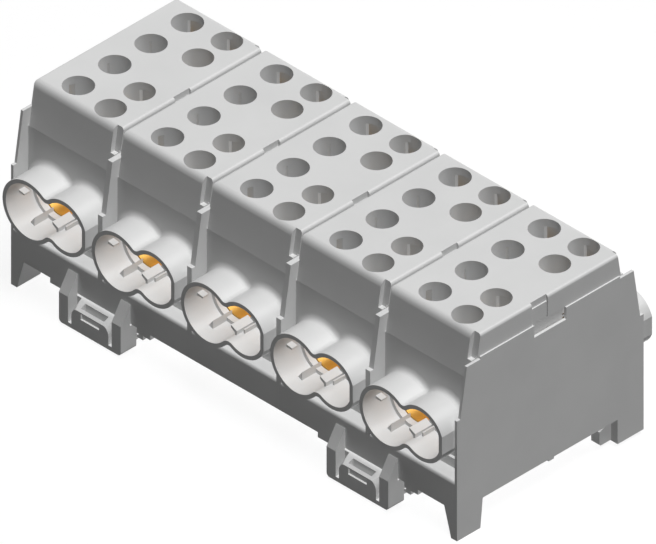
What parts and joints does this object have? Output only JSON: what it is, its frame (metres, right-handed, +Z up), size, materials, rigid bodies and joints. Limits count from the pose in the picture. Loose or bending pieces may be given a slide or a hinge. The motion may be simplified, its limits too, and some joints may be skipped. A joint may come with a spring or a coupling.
{
  "type": "power distribution block",
  "caption": "Row of moulded pole cases with snap-in caps, joined wire funnels front and back, brass clamp blocks, clamp screws and sliding latches for a 35 mm rail",
  "frame": {"origin": "on the plane of the front feet, under the middle of the row and of the case's depth", "axes": "X along the row of poles, Y from the latch side to the hook side, Z up"},
  "size_m": [0.135, 0.0636, 0.0505],
  "materials": {
    "case_plastic": "light grey moulded plastic, fine satin skin",
    "clamp_brass": "machined copper alloy, bare",
    "screw_steel": "zinc plated steel"
  },
  "bodies": {
    "block": {"housing_1": "case_plastic", "cap_1": "case_plastic", "terminal_block_1": "clamp_brass", "housing_2": "case_plastic", "cap_2": "case_plastic", "terminal_block_2": "clamp_brass", "housing_3": "case_plastic", "cap_3": "case_plastic", "terminal_block_3": "clamp_brass", "housing_4": "case_plastic", "cap_4": "case_plastic", "terminal_block_4": "clamp_brass", "housing_5": "case_plastic", "cap_5": "case_plastic", "terminal_block_5": "clamp_brass"},
    "main_screw_1_1": {"main_screw_1_1": "screw_steel"},
    "main_screw_1_2": {"main_screw_1_2": "screw_steel"},
    "main_screw_1_3": {"main_screw_1_3": "screw_steel"},
    "main_screw_1_4": {"main_screw_1_4": "screw_steel"},
    "branch_screw_1_1": {"branch_screw_1_1": "screw_steel"},
    "branch_screw_1_2": {"branch_screw_1_2": "screw_steel"},
    "branch_screw_1_3": {"branch_screw_1_3": "screw_steel"},
    "branch_screw_1_4": {"branch_screw_1_4": "screw_steel"},
    "main_screw_2_1": {"main_screw_2_1": "screw_steel"},
    "main_screw_2_2": {"main_screw_2_2": "screw_steel"},
    "main_screw_2_3": {"main_screw_2_3": "screw_steel"},
    "main_screw_2_4": {"main_screw_2_4": "screw_steel"},
    "branch_screw_2_1": {"branch_screw_2_1": "screw_steel"},
    "branch_screw_2_2": {"branch_screw_2_2": "screw_steel"},
    "branch_screw_2_3": {"branch_screw_2_3": "screw_steel"},
    "branch_screw_2_4": {"branch_screw_2_4": "screw_steel"},
    "main_screw_3_1": {"main_screw_3_1": "screw_steel"},
    "main_screw_3_2": {"main_screw_3_2": "screw_steel"},
    "main_screw_3_3": {"main_screw_3_3": "screw_steel"},
    "main_screw_3_4": {"main_screw_3_4": "screw_steel"},
    "branch_screw_3_1": {"branch_screw_3_1": "screw_steel"},
    "branch_screw_3_2": {"branch_screw_3_2": "screw_steel"},
    "branch_screw_3_3": {"branch_screw_3_3": "screw_steel"},
    "branch_screw_3_4": {"branch_screw_3_4": "screw_steel"},
    "main_screw_4_1": {"main_screw_4_1": "screw_steel"},
    "main_screw_4_2": {"main_screw_4_2": "screw_steel"},
    "main_screw_4_3": {"main_screw_4_3": "screw_steel"},
    "main_screw_4_4": {"main_screw_4_4": "screw_steel"},
    "branch_screw_4_1": {"branch_screw_4_1": "screw_steel"},
    "branch_screw_4_2": {"branch_screw_4_2": "screw_steel"},
    "branch_screw_4_3": {"branch_screw_4_3": "screw_steel"},
    "branch_screw_4_4": {"branch_screw_4_4": "screw_steel"},
    "main_screw_5_1": {"main_screw_5_1": "screw_steel"},
    "main_screw_5_2": {"main_screw_5_2": "screw_steel"},
    "main_screw_5_3": {"main_screw_5_3": "screw_steel"},
    "main_screw_5_4": {"main_screw_5_4": "screw_steel"},
    "branch_screw_5_1": {"branch_screw_5_1": "screw_steel"},
    "branch_screw_5_2": {"branch_screw_5_2": "screw_steel"},
    "branch_screw_5_3": {"branch_screw_5_3": "screw_steel"},
    "branch_screw_5_4": {"branch_screw_5_4": "screw_steel"},
    "rail_latch_left": {"rail_latch_left": "case_plastic"},
    "rail_latch_right": {"rail_latch_right": "case_plastic"}
  },
  "joints": [
    {"name": "main_screw_1_1_travel", "type": "slide", "parent": "block", "child": "main_screw_1_1", "axis": [0, 0, -1], "range_m": [0, 0.01]},
    {"name": "main_screw_1_2_travel", "type": "slide", "parent": "block", "child": "main_screw_1_2", "axis": [0, 0, -1], "range_m": [0, 0.01]},
    {"name": "main_screw_1_3_travel", "type": "slide", "parent": "block", "child": "main_screw_1_3", "axis": [0, 0, -1], "range_m": [0, 0.01]},
    {"name": "main_screw_1_4_travel", "type": "slide", "parent": "block", "child": "main_screw_1_4", "axis": [0, 0, -1], "range_m": [0, 0.01]},
    {"name": "branch_screw_1_1_travel", "type": "slide", "parent": "block", "child": "branch_screw_1_1", "axis": [0, 0, -1], "range_m": [0, 0.0075]},
    {"name": "branch_screw_1_2_travel", "type": "slide", "parent": "block", "child": "branch_screw_1_2", "axis": [0, 0, -1], "range_m": [0, 0.0075]},
    {"name": "branch_screw_1_3_travel", "type": "slide", "parent": "block", "child": "branch_screw_1_3", "axis": [0, 0, -1], "range_m": [0, 0.0075]},
    {"name": "branch_screw_1_4_travel", "type": "slide", "parent": "block", "child": "branch_screw_1_4", "axis": [0, 0, -1], "range_m": [0, 0.0075]},
    {"name": "main_screw_2_1_travel", "type": "slide", "parent": "block", "child": "main_screw_2_1", "axis": [0, 0, -1], "range_m": [0, 0.01]},
    {"name": "main_screw_2_2_travel", "type": "slide", "parent": "block", "child": "main_screw_2_2", "axis": [0, 0, -1], "range_m": [0, 0.01]},
    {"name": "main_screw_2_3_travel", "type": "slide", "parent": "block", "child": "main_screw_2_3", "axis": [0, 0, -1], "range_m": [0, 0.01]},
    {"name": "main_screw_2_4_travel", "type": "slide", "parent": "block", "child": "main_screw_2_4", "axis": [0, 0, -1], "range_m": [0, 0.01]},
    {"name": "branch_screw_2_1_travel", "type": "slide", "parent": "block", "child": "branch_screw_2_1", "axis": [0, 0, -1], "range_m": [0, 0.0075]},
    {"name": "branch_screw_2_2_travel", "type": "slide", "parent": "block", "child": "branch_screw_2_2", "axis": [0, 0, -1], "range_m": [0, 0.0075]},
    {"name": "branch_screw_2_3_travel", "type": "slide", "parent": "block", "child": "branch_screw_2_3", "axis": [0, 0, -1], "range_m": [0, 0.0075]},
    {"name": "branch_screw_2_4_travel", "type": "slide", "parent": "block", "child": "branch_screw_2_4", "axis": [0, 0, -1], "range_m": [0, 0.0075]},
    {"name": "main_screw_3_1_travel", "type": "slide", "parent": "block", "child": "main_screw_3_1", "axis": [0, 0, -1], "range_m": [0, 0.01]},
    {"name": "main_screw_3_2_travel", "type": "slide", "parent": "block", "child": "main_screw_3_2", "axis": [0, 0, -1], "range_m": [0, 0.01]},
    {"name": "main_screw_3_3_travel", "type": "slide", "parent": "block", "child": "main_screw_3_3", "axis": [0, 0, -1], "range_m": [0, 0.01]},
    {"name": "main_screw_3_4_travel", "type": "slide", "parent": "block", "child": "main_screw_3_4", "axis": [0, 0, -1], "range_m": [0, 0.01]},
    {"name": "branch_screw_3_1_travel", "type": "slide", "parent": "block", "child": "branch_screw_3_1", "axis": [0, 0, -1], "range_m": [0, 0.0075]},
    {"name": "branch_screw_3_2_travel", "type": "slide", "parent": "block", "child": "branch_screw_3_2", "axis": [0, 0, -1], "range_m": [0, 0.0075]},
    {"name": "branch_screw_3_3_travel", "type": "slide", "parent": "block", "child": "branch_screw_3_3", "axis": [0, 0, -1], "range_m": [0, 0.0075]},
    {"name": "branch_screw_3_4_travel", "type": "slide", "parent": "block", "child": "branch_screw_3_4", "axis": [0, 0, -1], "range_m": [0, 0.0075]},
    {"name": "main_screw_4_1_travel", "type": "slide", "parent": "block", "child": "main_screw_4_1", "axis": [0, 0, -1], "range_m": [0, 0.01]},
    {"name": "main_screw_4_2_travel", "type": "slide", "parent": "block", "child": "main_screw_4_2", "axis": [0, 0, -1], "range_m": [0, 0.01]},
    {"name": "main_screw_4_3_travel", "type": "slide", "parent": "block", "child": "main_screw_4_3", "axis": [0, 0, -1], "range_m": [0, 0.01]},
    {"name": "main_screw_4_4_travel", "type": "slide", "parent": "block", "child": "main_screw_4_4", "axis": [0, 0, -1], "range_m": [0, 0.01]},
    {"name": "branch_screw_4_1_travel", "type": "slide", "parent": "block", "child": "branch_screw_4_1", "axis": [0, 0, -1], "range_m": [0, 0.0075]},
    {"name": "branch_screw_4_2_travel", "type": "slide", "parent": "block", "child": "branch_screw_4_2", "axis": [0, 0, -1], "range_m": [0, 0.0075]},
    {"name": "branch_screw_4_3_travel", "type": "slide", "parent": "block", "child": "branch_screw_4_3", "axis": [0, 0, -1], "range_m": [0, 0.0075]},
    {"name": "branch_screw_4_4_travel", "type": "slide", "parent": "block", "child": "branch_screw_4_4", "axis": [0, 0, -1], "range_m": [0, 0.0075]},
    {"name": "main_screw_5_1_travel", "type": "slide", "parent": "block", "child": "main_screw_5_1", "axis": [0, 0, -1], "range_m": [0, 0.01]},
    {"name": "main_screw_5_2_travel", "type": "slide", "parent": "block", "child": "main_screw_5_2", "axis": [0, 0, -1], "range_m": [0, 0.01]},
    {"name": "main_screw_5_3_travel", "type": "slide", "parent": "block", "child": "main_screw_5_3", "axis": [0, 0, -1], "range_m": [0, 0.01]},
    {"name": "main_screw_5_4_travel", "type": "slide", "parent": "block", "child": "main_screw_5_4", "axis": [0, 0, -1], "range_m": [0, 0.01]},
    {"name": "branch_screw_5_1_travel", "type": "slide", "parent": "block", "child": "branch_screw_5_1", "axis": [0, 0, -1], "range_m": [0, 0.0075]},
    {"name": "branch_screw_5_2_travel", "type": "slide", "parent": "block", "child": "branch_screw_5_2", "axis": [0, 0, -1], "range_m": [0, 0.0075]},
    {"name": "branch_screw_5_3_travel", "type": "slide", "parent": "block", "child": "branch_screw_5_3", "axis": [0, 0, -1], "range_m": [0, 0.0075]},
    {"name": "branch_screw_5_4_travel", "type": "slide", "parent": "block", "child": "branch_screw_5_4", "axis": [0, 0, -1], "range_m": [0, 0.0075]},
    {"name": "rail_latch_left_slide", "type": "slide", "parent": "block", "child": "rail_latch_left", "axis": [0, -1, 0], "range_m": [0, 0.0035]},
    {"name": "rail_latch_right_slide", "type": "slide", "parent": "block", "child": "rail_latch_right", "axis": [0, -1, 0], "range_m": [0, 0.0035]}
  ]
}
